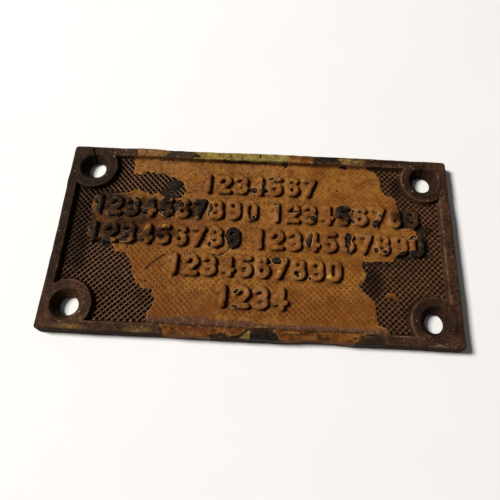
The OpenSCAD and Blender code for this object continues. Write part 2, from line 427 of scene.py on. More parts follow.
# The tan coat still on the ground. Its straight runs at the top and the bottom pass under the rim.
BEYOND = 60
FIELD_PAINT = [
    (-50.5, -BEYOND), (66.5, -BEYOND), (66.3, -44), (65, -42), (61.6, -41), (61, -38), (60.6, -33),
    (60.4, -29.8), (57, -27), (54.3, -24), (52.5, -21.4), (55.8, -18.2), (57, -15.7), (55.2, -13.5),
    (54.3, -10.5), (55, -8.6), (58.4, -9), (64, -8.2), (70.3, -8), (71.8, -5), (75, -2.6), (81.6, -1.8),
    (82.6, 2), (82.8, 8.5), (80.8, 10.2), (73.6, 10.2), (74.2, 13), (73.6, 26.6), (71.8, 28.2),
    (68.4, 29.2), (66.8, 31.2), (65.8, 34.5), (65.5, 39.4), (62.8, 42.6), (60, 44.2), (57.8, 46),
    (57, BEYOND), (-68.4, BEYOND), (-68.2, 35.8), (-62.3, 35.4), (-60.8, 36.6), (-51.3, 36.8),
    (-48.6, 35), (-43.2, 34), (-40.2, 31.6), (-37.6, 26.8), (-40.4, 22), (-49.3, 21.4), (-52.6, 24.6),
    (-56.4, 23.4), (-62.8, 26.4), (-67, 25), (-78.5, 22.6), (-86, 21.2), (-87, 14), (-85.6, 9),
    (-86.6, 4), (-86, -0.5), (-84, -3.6), (-80.6, -4), (-78, -1.6), (-74.6, -3), (-72, -7),
    (-69.8, -9.6), (-65, -10.2), (-61.2, -14.6), (-59.2, -23), (-55.4, -27.2), (-49.8, -28.6),
    (-47, -33.6), (-49.6, -40),
]
FLAKE = [(64.8, -26.2), (66.8, -24.6), (70, -25), (72, -28.4), (68.6, -26.9), (66.2, -27.4)]
# The shade of the flake's lifted edge, as a centre line
FLAKE_SHADE = ((64.4, -26.6), (67.6, -27), (70.4, -28))

# Where the tan coat is knocked off the figures: centre, radii
KNOCKED = (
    (-2.6, 28, 2.6, 1.6), (3.6, 29.6, 2, 3.2), (6.4, 35.8, 1.8, 1.4), (-27.6, 16, 4.6, 6.6),
    (1.2, 20.6, 1.8, 1.8), (-2, 11.6, 1.7, 1.5), (8.6, 20.8, 1.9, 1.2), (30, 13, 1.8, 1.6),
    (46.6, 18.2, 4.6, 3.6), (48.6, 12.4, 2.2, 1.6), (-10.6, 0.6, 4.6, 6.4), (-23.2, -3.6, 1.8, 1.4),
    (27.6, 2, 2, 4.6), (47.4, 0.8, 1.9, 5.4), (60, -2.6, 2.8, 1.8), (78.8, 5, 3.4, 1.6),
    (66, -3.6, 1.2, 1), (10.2, -11.4, 4, 2.6), (21.8, -17.4, 1.2, 1.6), (27.6, -19.2, 1.6, 0.9),
    (-8.6, -27.6, 1.3, 1.1), (-8, -35.2, 2, 1), (-80, 18.6, 6.4, 3.6), (-70, 19.4, 4.4, 2),
    (-60, 20.4, 4.6, 1.4), (-78.6, 1, 2.4, 3.4), (-48, 17, 1.8, 2.6),
)
# Where it is worn off the figures in patches
WORN_OFF = (
    (-70, 16.2, 19, 7.5), (-80, 1.6, 8, 6.5), (-66, 0.5, 6, 5), (-45, 16, 7, 6), (-32, 16, 3, 5),
    (62, 14, 4, 5),
)
# Pinholes and chips in the tan coat where it lies on the ground: centre, radii
CHIPS = (
    (14, 44.6, 2.2, 1.2), (46.4, 44.6, 2.6, 1), (42.6, 31, 0.55, 0.5), (54.4, 41.8, 0.9, 0.5),
    (-52.6, -24.6, 0.9, 0.7), (58.8, -36.2, 0.6, 0.5), (47.9, -29.4, 0.5, 0.8), (9.8, 32.6, 0.8, 0.6),
    (-68.2, 38.6, 0.6, 3.4), (20.6, 16.6, 2.4, 0.7), (-75.8, -4.2, 3, 2.6),
)
# Wrinkles that stand up in the coat, as centre lines
CREASES = (((-54.2, -17.4), (-52.6, -15.2), (-50.6, -13.2), (-48, -11), (-46, -9.6)),)
# Cracks through the tan coat: half width and centre line
SPLITS = (
    (0.2, ((14.2, 44), (13, 41.4), (11.4, 38.6), (10.2, 35.4), (8.4, 32.6), (7.6, 31.6))),
    (0.5, ((-12.6, -4.6), (-13.8, -6.4), (-15.4, -7.8), (-17, -8.6))),
    (0.24, ((-17, -8.6), (-18.6, -9), (-21, -8.6))), (0.2, ((54.6, -5.6), (55.4, -7.4), (56, -9))),
    (0.2, ((-64, -5.4), (-64.6, -7.6), (-66.4, -9.4))),
)


def blobs(places, x=XX, y=YY):
    """How deep points lie in the nearest of some ovals, in millimetres."""
    best = np.full(np.shape(x), -9.0)
    for cx, cy, rx, ry in places:
        best = np.maximum(best, (1 - np.hypot((x - cx) / rx, (y - cy) / ry)) * min(rx, ry))
    return best


edge_noise = 0.28 * lumps(21, 1.3)(XX, YY) + 0.3 * lumps(22, 3.6)(XX, YY)
recess_grid = recess_inset(XX, YY)
patch_noise = 1.3 * lumps(73, 2.6)(XX, YY) + 0.8 * lumps(74, 1.2)(XX, YY) + 0.3
patches = np.minimum(0.3 * blobs(WORN_OFF), patch_noise)
knocked = np.minimum(np.maximum(blobs(KNOCKED) + 1.6 * edge_noise, patches), 0.75 - figures)
chips = blobs(CHIPS) + 0.9 * edge_noise
splits = reduce(np.maximum, (half - to_lines(XX, YY, line) for half, line in SPLITS)) + 0.25 * edge_noise
stepping = 0.5 * cell_lumps(XX, YY, 23) * smooth(-36, -46, XX) * (figures > 1.2)
field_outline = outline_field(FIELD_PAINT) + 0.5 * edge_noise + stepping
off_wall = recess_grid - 0.16 + 0.3 * edge_noise
field_paint = np.minimum.reduce([field_outline, off_wall, -knocked, -chips, -splits])
flake_paint = outline_field(FLAKE) + 0.6 * edge_noise
INSET_REACH = 1.8
field_inset = inset_field(field_paint > 0, INSET_REACH)
flake_inset = inset_field(flake_paint > 0, INSET_REACH)

# Where dirt lies thick on the coat, where the coat is paler and greyer and where it has a deeper
# tone, and where the bare metal is darkest: centre, radii
SOILED = (
    (-78, 17, 13, 8), (-62, 17, 10, 6), (-77, 3, 13, 7), (-62, 1, 12, 6), (-67, 9, 21, 4.5),
    (-72, 17, 16, 6), (-33, 16, 6, 6), (74, 16, 5, 6), (46, 17, 5, 6), (-85, 6, 3, 16),
    (-50, 17, 12, 5), (-48, 1, 12, 4),
)
PALER_PLACES = ((-46, 41, 24, 5), (-5, 42, 26, 3), (-30, 12, 10, 20))
DEEPENED = (
    (-57, -14, 12, 16), (42, -35, 36, 11), (-54, 8, 36, 10), (-30, -36, 30, 8), (-51, -36, 4, 9),
)
DARKENED = (
    (-93, 2, 9, 32), (-88, 37, 16, 16), (-100, 10, 6, 52), (-82, 24, 8, 5), (90, 38, 11.5, 11.5),
    (74, 35, 4, 6), (71, 49, 12, 2), (88, -37.5, 13, 11), (60, -18, 6, 10), (-92, -40, 6, 6),
)
# Traces of yellow and brown paint on the rim's bare metal: centre, radii
STAINED = ((-53, -48.4, 7, 1.6), (-86, -48.8, 7, 0.9), (50, 47.8, 7, 2.4))
# Where knocks have left pale scratches on the metal, and at (97.3, 41.4) a painted highlight on
# the upper right countersink: centre, radii
SCRATCHES_AND_SHEEN = (
    (98.4, 29, 1.4, 4), (97.6, 8, 0.8, 3), (97.3, 41.4, 0.9, 2.6), (-99.4, -12, 0.9, 4),
    (-99, 10, 0.9, 2), (84, -45, 4, 1.2), (72, -46.5, 3, 1), (90, -49, 3, 0.8),
)
# Pale specks in the coats, and spots where their yellow ground shows on the figures: centre, radii
SPECKS = (
    (-28.7, -46.2, 0.5, 0.5), (-46, -38, 0.4, 0.35), (-44, -38.6, 0.35, 0.3), (-41, -39, 0.35, 0.35),
    (24, -20.5, 0.4, 0.35), (-36.5, -49.3, 1.6, 0.3), (-31, -49.6, 1.4, 0.3), (56.5, -46.9, 1.2, 0.5),
)
YELLOW_SPOTS = ((38, -18, 1.6, 0.9), (-59, 4, 3.2, 1.6), (-47.4, 5, 0.8, 1.2), (15.6, -16.8, 2.4, 0.8))
# Where old black paint fills the chequering; at (60, -10) and (75, -5.2) the black is painted
# shadow under the coat's edge and below a figure: centre, radii
FILLED_AND_SHADOWED = (
    (-45.4, 28, 3.6, 4.4), (-48.6, 25, 3, 2.6), (-41.8, 31, 2.4, 1.6), (-45, 22.6, 3.4, 2),
    (-74, 22.6, 13, 2.6), (-77, -4.4, 4.6, 3), (87, 9.6, 5, 2.4), (86.4, 1, 3.6, 5.6),
    (84, -3.2, 6, 2.2), (56.8, -17.4, 1.6, 2), (60, -10, 8, 0.9), (75, -5.2, 4.6, 1.7),
    (77, 15.6, 2.6, 6),
)
filled_noise = 0.9 * lumps(31, 2.4)(XX, YY) + 0.6 * lumps(32, 1.1)(XX, YY)
filled_and_shadowed = smooth(-0.3, 0.5, blobs(FILLED_AND_SHADOWED) + filled_noise)


def spread(places, x, y, seed):
    """Soft blotches of random strength over some ovals, from 0 to 1."""
    out = reduce(np.minimum, (np.hypot((x - cx) / rx, (y - cy) / ry) for cx, cy, rx, ry in places))
    return smooth(-0.25, 0.55, 1 - out + 0.3 * lumps(seed, 4.5)(x, y))


def casting_height(x, y):
    """The casting's face over the plan, above its back."""
    inset, hole, figure = recess_inset(x, y), hole_distance(x, y), sample(figures, x, y)
    figure_z = np.where(inset > 0.8, profile(FIGURE, figure) - GROUND_DEPTH, -9)
    z = np.maximum(profile(RECESS, inset), figure_z)
    bare = 1 - smooth(0.9, 1.5, sample(field_paint, x, y))
    share = bare * (1 - 0.7 * sample(filled_and_shadowed, x, y)) * smooth(0.5, 0.85, figure) * smooth(0.9, 1.3, inset)
    z = z - share * pit_depth(x, y)
    z = z + 0.03 * ground_lumps(x, y) + 0.05 * broad_lumps(x, y) * smooth(-0.8, 1.0, inset)
    pock = pocks(x, y)
    z = z + 0.09 * pock * smooth(0.1, -0.3, figure)
    z = np.minimum(z, profile(SINK, hole) + 0.05 * pock * smooth(5.0, 6.0, hole))
    z = np.minimum(z, profile(EDGE, back_inset(x, y)) + 0.04 * pock)
    return FACE + z + crack_height(x, y)


shift_x, shift_y, bow, nicks = lumps(41, 14.0), lumps(42, 16.0), lumps(43, 45.0), lumps(44, 3.2)


def cast_shift(co):
    """The small unevenness of a sand casting, the same for the metal and the paint on it."""
    x, y, z = co.T
    loose = smooth(BORE_R + 4, BORE_R + 12, hole_distance(x, y))
    outer = back_inset(x, y)
    nicked = 0.16 * smooth(2.5, 0, outer) * nicks(x, y)
    wide_rim = 0.5 * smooth(80, 93, x) * smooth(0.5, 4.0, outer)
    dented = 0.6 * smooth(12, 28, x) * smooth(48, 36, x) * smooth(-45, -50, y)
    dx = (0.28 * shift_x(x, y) - wide_rim) * loose + nicked
    dy = 0.3 * shift_y(x, y) * loose - nicked + dented
    return np.stack([x + dx, y + dy, z + 0.12 * bow(x, y) * z / FACE], 1)


# Meshes

def placed(name, data):
    """A new object in the scene."""
    thing = bpy.data.objects.new(name, data)
    bpy.context.scene.collection.objects.link(thing)
    return thing


def make_piece(name, node, slot, co, faces, material, values):
    """A piece in place of a CAD node, from millimetre corners and faces, with named values per corner."""
    mesh = bpy.data.meshes.new(name)
    mesh.from_pydata((cast_shift(co) * MM).tolist(), [], faces)
    mesh.update()
    for key, value in values.items():
        layer = mesh.attributes.new(key, "FLOAT", "POINT")
        layer.data.foreach_set("value", np.asarray(value, np.float32))
    mesh.polygons.foreach_set("use_smooth", np.ones(len(mesh.polygons), bool))
    mesh.set_sharp_from_angle(angle=math.radians(42))
    mesh.materials.append(material)
    piece = placed(name, mesh)
    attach(piece, "root")
    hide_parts(node)


def welded(co, faces):
    """Joins corners that lie at one place and drops faces that this closes up."""
    _, first, number = np.unique(np.round(co, 3), axis=0, return_index=True, return_inverse=True)
    number = number.ravel()
    kept = []
    for face in faces:
        ring = number[face].tolist()
        ring = [a for a, b in zip(ring, ring[-1:] + ring[:-1]) if a != b]
        if len(ring) > 2:
            kept.append(ring)
    return co[first], kept


def raised(points, z):
    """Plan points with a height for each, or one for all."""
    return np.column_stack([points, np.broadcast_to(z, len(points))])


def outline_ring(extra=()):
    """Points round the back's outline and the way in from each, with extra places on the top side."""
    half = np.array([BACK_W, BACK_H]) / 2 - CORNER_R
    ends = half * [(1, 1), (-1, 1), (-1, -1), (1, -1), (1, 1)]
    spacing = 2.2
    points, inward = [], []
    for k in range(4):
        a = np.radians(90 * k + np.linspace(0, 90, 9))
        way = np.stack([np.cos(a), np.sin(a)], 1)
        n = int(math.dist(ends[k], ends[k + 1]) / spacing)
        share = np.arange(1, n) / n
        if k == 0:
            more = [(half[0] - x) / (2 * half[0]) for x in extra]
            share = [s for s in share if all(abs(s - m) > 0.25 / n for m in more)]
            share = np.sort(share + more)
        side = ends[k] + CORNER_R * way[-1] + np.outer(share, ends[k + 1] - ends[k])
        points += [ends[k] + CORNER_R * way, side]
        inward += [-way, np.repeat(-way[-1:], len(side), 0)]
    return np.vstack(points), np.vstack(inward)


def recess_ring(inset):
    """The recess's line moved inwards: straight along the rim and round the bosses."""
    ax, ay, r = INNER_X - inset, INNER_Y - inset, BOSS_R + inset
    x1 = HOLE_X - math.sqrt(r * r - (ay - HOLE_Y) ** 2)
    y1 = HOLE_Y - math.sqrt(r * r - (ax - HOLE_X) ** 2)
    start = math.atan2(ay - HOLE_Y, x1 - HOLE_X)
    end = math.atan2(y1 - HOLE_Y, ax - HOLE_X) + 2 * math.pi
    a = np.linspace(start, end, 34)
    arc = np.stack([HOLE_X + r * np.cos(a), HOLE_Y + r * np.sin(a)], 1)
    spacing = 1.6
    rows, columns = np.arange(-y1, y1, spacing)[1:], np.arange(-x1, x1, spacing)[1:]
    right_side = np.stack([np.full(len(rows), ax), rows], 1)
    top_side = np.stack([-columns, np.full(len(columns), ay)], 1)
    flip_x, flip_y = (-1, 1), (1, -1)
    ring = [
        right_side, arc[::-1], top_side, arc * flip_x, (right_side * flip_x)[::-1],
        -arc[::-1], (top_side * flip_y)[::-1], arc * flip_y,
    ]
    return np.vstack(ring), arc[0]


def circle(centre, r):
    a = np.arange(HOLE_SIDES) * 2 * math.pi / HOLE_SIDES
    return np.stack([centre[0] + r * np.cos(a), centre[1] + r * np.sin(a)], 1)


def scattered(spacing, seed, keep):
    """Fill points in rows, each moved a little at random."""
    rng = np.random.default_rng(seed)
    half_w, half_h, row = 102, 51, spacing * 0.87
    x, y = np.meshgrid(np.arange(-half_w, half_w, spacing), np.arange(-half_h, half_h, row))
    x[::2] += spacing / 2
    p = np.stack([x.ravel(), y.ravel()], 1) + rng.uniform(-0.2, 0.2, (x.size, 2)) * spacing
    return p[keep(*p.T)]


def lattice():
    """Middles of pits and crossings of ridges over the ground by turns, counted in steps."""
    n_x, n_y = int(INNER_X / PIT_STEP) + 1, int(INNER_Y / PIT_STEP) + 1
    i, j = np.meshgrid(np.arange(-n_x, n_x + 1), np.arange(-n_y, n_y + 1))
    return np.stack([i.ravel(), j.ravel()], 1)


def pit_lines():
    """The pits on bare ground: shoulder, slope and floor of each as chains, and their crests as points."""
    places = lattice()
    centres = places[places.sum(1) % 2 == 0] * PIT_STEP
    bare = (recess_inset(*centres.T) > 0.6) & (sample(field_paint, *centres.T) < 1.6)
    bare &= sample(figures, *centres.T) > 0.2
    diamond = np.array([(1, 0), (0, 1), (-1, 0), (0, -1)]) * math.sqrt(2)
    ring = np.stack([diamond, (diamond + np.roll(diamond, -1, 0)) / 2], 1).reshape(-1, 2)
    chains, crests = [], []
    for c in centres[bare]:
        worn = float(rubbed_round(c[0]))
        floor, slope, shoulder, crest = (a + (b - a) * worn for (a, _), (b, _) in zip(SHARP_PIT, WORN_PIT))
        chains += [(c + diamond * floor, True), (c + diamond * slope, True), (c + ring * shoulder, True)]
        crests.append(c + ring * crest)
    crests = np.unique(np.round(np.vstack(crests), 4), axis=0)
    clear = (recess_inset(*crests.T) > 1.35) & (sample(figures, *crests.T) > 0.95)
    return chains, crests[clear]


def bend_lines(outline, inward):
    """The lines along which the casting's face bends, apart from its pits."""
    recess_rings = [recess_ring(d) for d, _ in RECESS]
    chains = [(outline + inward * d, True) for d, _ in (*EDGE, (2.0, 0))]
    chains += [(ring, True) for ring, _ in recess_rings]
    crease = np.array([end for _, end in recess_rings])
    chains += [(crease * (sx, sy), False) for sx in (-1, 1) for sy in (-1, 1)]
    chains += [(circle(centre, r), True) for centre in HOLES for r, _ in SINK]
    for d, _ in FIGURE:
        chains += clipped(level_lines(-figures, -d, 0.5), lambda x, y: recess_inset(x, y) > 0.9)
    return chains


def bored(flat, tris, r):
    """The triangles that lie outside a radius round each hole."""
    return tris[hole_distance(*flat[tris].mean(1).T) > r]


def casting_face(outline, inward):
    """The face with all its forms, bored through."""
    def open_face(x, y):
        inset = recess_inset(x, y)
        clear_walls = (inset < -0.7) | (inset > 1.4)
        clear_forms = (inset < 0) | ((sample(field_paint, x, y) > 1.6) & (sample(figures, x, y) > 1.0))
        clear_sinks = hole_distance(x, y) > SINK[-1][0] + 0.2
        return clear_walls & clear_forms & clear_sinks & (back_inset(x, y) > 2.2)

    pits, crests = pit_lines()
    cracks = [(np.array(line) + (d, 0), False) for line in CRACKS for d in CRACK_SIDES]
    chains = bend_lines(outline, inward) + pits + cracks
    flat, tris = triangulated(np.vstack([scattered(1.5, 5, open_face), crests]), chains)
    tris = bored(flat, tris, BORE_R * math.cos(math.pi / HOLE_SIDES) - 1e-3)
    return raised(flat, casting_height(*flat.T)), tris.tolist()


def lofted(loops):
    """Walls from each loop of corners to the next."""
    n = len(loops[0])
    here = np.arange(n)
    after = np.roll(here, -1)
    quads = np.stack([here, here + n, after + n, after], 1)
    return np.vstack(loops), np.vstack([quads + k * n for k in range(len(loops) - 1)]).tolist()


def casting_side(outline, inward):
    """The drafted side, from the brow down to the back."""
    brow = outline + inward * EDGE[0][0]
    brow_z = casting_height(*brow.T)
    side = [raised(outline + inward * d, np.minimum(z, brow_z - 0.05 * (z > 1))) for d, z in LOW_SIDE]
    return lofted([raised(brow, brow_z)] + side)


def casting_bore(centre):
    """The wall of one hole, from its countersink down to the back."""
    ring = circle(centre, BORE_R)
    loops = [raised(ring, casting_height(*ring.T))] + [raised(circle(centre, r), z) for r, z in LOW_BORE]
    return lofted([loop[::-1] for loop in loops])


def casting_back(outline, inward):
    """The back, a little hollow."""
    chains = [(outline + inward * LOW_SIDE[-1][0], True)]
    chains += [(circle(centre, LOW_BORE[-1][0]), True) for centre in HOLES]
    loose = scattered(6.0, 6, lambda x, y: (back_inset(x, y) > 3) & (hole_distance(x, y) > BORE_R + 2))
    flat, tris = triangulated(loose, chains)
    hollow = 0.05 * (1 + broad_lumps(*flat.T)) * smooth(0.3, 4, back_inset(*flat.T))
    hollow *= smooth(BORE_R + 0.3, BORE_R + 3, hole_distance(*flat.T))
    return raised(flat, hollow), bored(flat, tris, BORE_R + 0.1)[:, [0, 2, 1]].tolist()


def casting():
    """The whole casting as one closed mesh."""
    ring = outline_ring([line[0][0] + d for line in CRACKS for d in CRACK_SIDES])
    parts = [casting_face(*ring), casting_side(*ring), *map(casting_bore, HOLES), casting_back(*ring)]
    co, faces, start = [], [], 0
    for part_co, part_faces in parts:
        co.append(part_co)
        faces += [[start + corner for corner in face] for face in part_faces]
        start += len(part_co)
    return welded(np.vstack(co), faces)


def film(field, top_height, chains, points, low):
    """A closed film of paint over a grid field's positive part, with its underside at one height."""
    loops = level_lines(field, 0.0, 0.45)
    flat, tris = triangulated(points, [(loop, True) for loop in loops] + chains)
    tris = tris[inside_loops(flat[tris].mean(1), field, loops)]
    used, tris = np.unique(tris, return_inverse=True)
    flat, tris = flat[used], tris.reshape(-1, 3)
    edges = np.vstack([tris[:, [0, 1]], tris[:, [1, 2]], tris[:, [2, 0]]]).tolist()
    paired = set(map(tuple, edges))
    rim = [(a, b) for a, b in edges if (b, a) not in paired]
    ring = sorted({a for a, _ in rim})
    local = {a: k for k, a in enumerate(ring)}
    coords = [Vector(p) for p in flat[ring].tolist()]
    result = delaunay_2d_cdt(coords, [(local[a], local[b]) for a, b in rim], [], 0, 1e-6, True)
    under = np.array(result[2], int)
    middles = np.array([tuple(v) for v in result[0]])[under].mean(1)
    under = under[inside_loops(middles, field, loops)].tolist()
    n = len(flat)
    source = [n + ids[0] for ids in result[3]]
    co = np.vstack([raised(flat, top_height(*flat.T)), raised(flat[ring], low)])
    faces = tris.tolist()
    faces += [[b, a, n + local[a], n + local[b]] for a, b in rim]
    faces += [[source[c], source[b], source[a]] for a, b, c in under]
    return co, faces


def film_thickness(inset, full):
    """Thin at the broken edge, a little proud just inside it, and even further in."""
    return full * np.interp(inset, (0, 0.3, 0.7, 1.4), (0.62, 1.05, 1.12, 1.0))


telegraph_lumps = lumps(51, 7.0)
paint_lumps = lumps(52, 1.9)
brush_lumps = lumps(53, 5.0)
haze_lumps = lumps(54, 11.0)
rim_lumps = lumps(55, 3.0)
TAN_THICKNESS = 0.35


def show_through(x, y):
    """How plainly the chequering shows in the coat over it, from 0 to 1."""
    share = 0.35 + 0.5 * smooth(8, -22, y) + 0.15 * smooth(38, 44, y)
    share = share + 0.4 * smooth(-36, -48, x) * smooth(0, -8, y)
    return np.clip(share + 0.45 * telegraph_lumps(x, y), 0.08, 1)


def field_height(x, y):
    """The tan coat's surface on the ground: over the figures, up the wall and into the pits."""
    inset, figure = recess_inset(x, y), sample(figures, x, y)
    wall = profile(RECESS, inset - 0.12) + 0.3
    z = np.maximum(wall, profile(PAINTED_FIGURE, figure) - GROUND_DEPTH)
    z = z + film_thickness(sample(field_inset, x, y), TAN_THICKNESS) - TAN_THICKNESS
    dimple = 0.5 + 0.25 * sum(np.cos(2 * math.pi * u) for u in runs(x, y))
    z = z - 0.18 * show_through(x, y) * dimple * smooth(0.9, 1.7, figure) * smooth(1.0, 1.8, inset)
    z = z + 0.3 * smooth(0.7, 0, to_lines(x, y, *CREASES)) + 0.2 * pocks(x, y) * smooth(0.1, -0.3, figure)
    return FACE + z + 0.035 * paint_lumps(x, y) + 0.05 * brush_lumps(x, y)


def field_film():
    """The tan coat on the ground, with the figures it covers."""
    def painted(x, y):
        return (sample(field_paint, x, y) > 0.12) & (recess_inset(x, y) > 0.2)

    def open_ground(x, y):
        clear = (sample(figures, x, y) > 1.6) & (recess_inset(x, y) > 1.6)
        return clear & (sample(field_inset, x, y) > 0.8)

    chains = []
    for d, _ in PAINTED_FIGURE:
        chains += clipped(level_lines(-figures, -d, 0.6), painted)
    for d in (0.3, 0.7):
        chains += clipped(level_lines(field_inset, d, 0.7), lambda x, y: sample(figures, x, y) > 1.6)
    rings = [recess_ring(d)[0] for d in (0.35, 0.6, 0.9, 1.4)]
    chains += clipped(rings, lambda x, y: sample(field_paint, x, y) > 0.1)
    chains += [(np.array(line) + (side, -side), False) for line in CREASES for side in (-0.45, 0, 0.45)]
    points = np.vstack([lattice(), lattice() + 0.5]) * PIT_STEP
    points = points[open_ground(*points.T)]
    return film(field_paint, field_height, chains, points, GROUND - PIT_DEPTH - 0.3)


# Patches of paint on the rim: the finish, and the outline at the face
RIM_PATCHES = {
    "top_rim_tan": ("rim_tan", [
        (-68, 44.5), (-66.2, 45.2), (-66.8, 48), (-67.6, 51), (-47.6, 51), (-48.8, 49.2), (-50.2, 47.4),
        (-52.2, 46), (-54.4, 44.5),
    ]),
    "top_rim_undercoat_left": ("grey", [
        (-54, 44.5), (-51.8, 46), (-49.8, 47.4), (-48.3, 49.2), (-47.2, 51), (-36, 51), (-34.6, 49),
        (-37.4, 46.6), (-37, 44.5),
    ]),
    "top_rim_yellow": ("yellow", [
        (-37.4, 45), (-36, 46.4), (-33, 46.1), (-31.6, 46.9), (-32.6, 47.9), (-34.6, 48.8),
        (-36.2, 50.1), (-35, 51), (16.6, 51), (16.2, 48.4), (15.2, 46.4), (14.4, 44.6),
    ]),
    "top_rim_orange": ("orange", [
        (14.8, 44.6), (15.6, 46.4), (16.6, 48.4), (17, 51), (29.2, 51), (29.8, 48), (29.4, 44.6),
    ]),
    "top_rim_undercoat_right": ("undercoat", [
        (30, 44.8), (30.4, 47.6), (30, 51), (43.6, 51), (42.2, 48.4), (43.2, 46), (42, 44.8),
    ]),
    "bottom_rim_tan_left": ("orange", [
        (-43.6, -45), (-42.2, -46.6), (-41, -48.2), (-40.4, -49.6), (-40.4, -52), (-18.2, -52),
        (-18, -50.3), (-17.2, -49.4), (-15, -49.8), (-12.8, -48.8), (-11.2, -48.8), (-10, -49.8),
        (-7.6, -50.1), (-5, -49.6), (-3.4, -48.6), (-2.2, -47.2), (-0.8, -46), (0.6, -45.4), (0, -44.6),
    ]),
    "bottom_rim_yellow": ("yellow", [
        (-5.4, -52), (-4.8, -50), (-3.2, -49.2), (-2, -47.8), (-0.6, -46.6), (0.2, -46.7), (0.3, -52),
    ]),
    "bottom_rim_undercoat_left": ("undercoat", [
        (0.5, -52), (0.5, -46.8), (2.4, -45.7), (6, -45.5), (9, -46), (11.2, -46.9), (12.8, -48.6),
        (14, -52),
    ]),
    "bottom_rim_tan_right": ("orange", [
        (8.4, -45), (11.6, -46.6), (13.2, -48.4), (14.6, -52), (48.8, -52), (50, -49.8), (52.2, -48.2),
        (54, -47), (56.4, -46.1), (60, -45),
    ]),
    "bottom_rim_undercoat_right": ("grey", [
        (50, -52), (50.6, -49.8), (52.6, -48.3), (54.4, -47.2), (56.8, -46.3), (61, -45.4), (62.4, -48),
        (60.8, -52),
    ]),
}
# Outlines of the yellow crumbs to their right
CRUMBS = (
    [(43.8, 48.2), (43.2, 49), (46, 49.3), (49.8, 49.1), (50, 48.3), (47, 47.9)],
    [(44, 46.5), (44.6, 47.4), (47.6, 47.5), (48.4, 46.7), (46, 46.1)],
    [(51, 46.8), (50.8, 48.8), (53.4, 49), (54.8, 47.8), (54, 46.4)],
)
# Each finish's material slot and thickness
FINISHES = {
    "rim_tan": ("tan_paint", TAN_THICKNESS),
    "orange": ("orange_paint", TAN_THICKNESS),
    "yellow": ("yellow_paint", 0.26),
    "undercoat": ("dark_undercoat", 0.16),
    "grey": ("dark_undercoat", 0.16),
}
rim_outlines = outline_fields([outline for _, outline in RIM_PATCHES.values()]) + 0.8 * edge_noise
rim_chips = 1.5 * (lumps(71, 1.6)(XX, YY) + 0.5 * lumps(72, 0.8)(XX, YY) - 0.8)
# Cracks through the rim's coats, as centre lines
RIM_SPLITS = (
    ((15.4, -47.9), (19.2, -47.5), (22.8, -48)), ((27.6, -46.8), (30.6, -46), (36.4, -45.4)),
    ((28, -49), (31.4, -48.6), (35, -48.8)), ((-18.4, -49.4), (-16.4, -48.6), (-12, -48.2)),
)
rim_splits = 0.1 - to_lines(XX, YY, *RIM_SPLITS) + 0.9 * edge_noise
# Where a coat's torn edge stands over the one below it, and casts a painted shadow on it
TORN = (
    (
        (-18.4, -49.6), (-16.8, -48.7), (-15, -49.2), (-12.8, -48.2), (-11, -48.2), (-10, -49.1),
        (-7.4, -49.5), (-5.2, -49), (-3.6, -48), (-2.4, -46.6), (-1, -45.3), (2.4, -44.8), (6, -44.5),
        (9, -44.9), (11.6, -46.5), (13.2, -48.6),
    ),
    ((-20, 45.6), (-14.5, 45.2), (-9, 45.4), (-4, 45.1), (2, 45.3), (7, 45), (12, 45), (15, 44.7)),
    ((15, -47.8), (17.6, -47.2), (19.4, -47.6), (21.6, -46.9), (23, -47.4)),
    ((27, -46.2), (29.2, -45.6), (31.4, -45.9), (33.2, -45.2), (36.6, -45)),
    ((46.8, -48.8), (50, -47.6), (52.6, -46.6), (56, -45.6), (59, -45.2)),
)
# The orange coat that also covers the lower edge and the wall below it, on the metal itself
front_coat = outline_fields([RIM_PATCHES[f"bottom_rim_tan_{side}"][1] for side in ("left", "right")])
FRONT_EDGE_Y = -50.8


def torn_edge(x, y):
    """How dark the painted shadow under a torn edge is at a point, and how pale the edge."""
    ragged = 0.5 * sample(edge_noise, x, y)
    under = to_lines(x, y + 0.22, *TORN) + ragged
    over = to_lines(x, y - 0.24, *TORN) - ragged
    return smooth(0.65, 0.25, under), smooth(0.4, 0.12, over)


def rim_film(field, thickness, chipped):
    """A film on the rim's face that laps a little over its two edges, and the way in from its edge."""
    limits = [field, 0.3 - recess_grid + 0.4 * edge_noise, back_inset(XX, YY) - 0.78 + 0.3 * edge_noise]
    if chipped:
        limits += [-rim_chips, -rim_splits]
    field = np.minimum.reduce(limits)
    inner = inset_field(field > 0, INSET_REACH)

    def height(x, y):
        film_z = film_thickness(sample(inner, x, y), thickness)
        return casting_height(x, y) + film_z + 0.03 * paint_lumps(x, y)

    def open_rim(x, y):
        return (sample(inner, x, y) > 0.7) & (recess_inset(x, y) < -0.3) & (back_inset(x, y) > 1.7)

    outline, inward = outline_ring()
    lines = [recess_ring(d)[0] for d in (-0.1, 0.05)]
    lines += [outline + inward * d for d in (0.92, 1.15, 1.5)]
    lines += level_lines(inner, 0.5, 0.6)
    chains = clipped(lines, lambda x, y: sample(field, x, y) > 0.1)
    return *film(field, height, chains, scattered(0.8, 8, open_rim), FACE - 2.4), inner


# Materials. Colours are as read off a screen, in 0 to 255.

def linear(colour):
    """A screen colour as linear light."""
    c = np.array(colour) / 255
    light = np.where(c <= 0.04045, c / 12.92, ((c + 0.055) / 1.055) ** 2.4)
    return (*light.tolist(), 1.0)


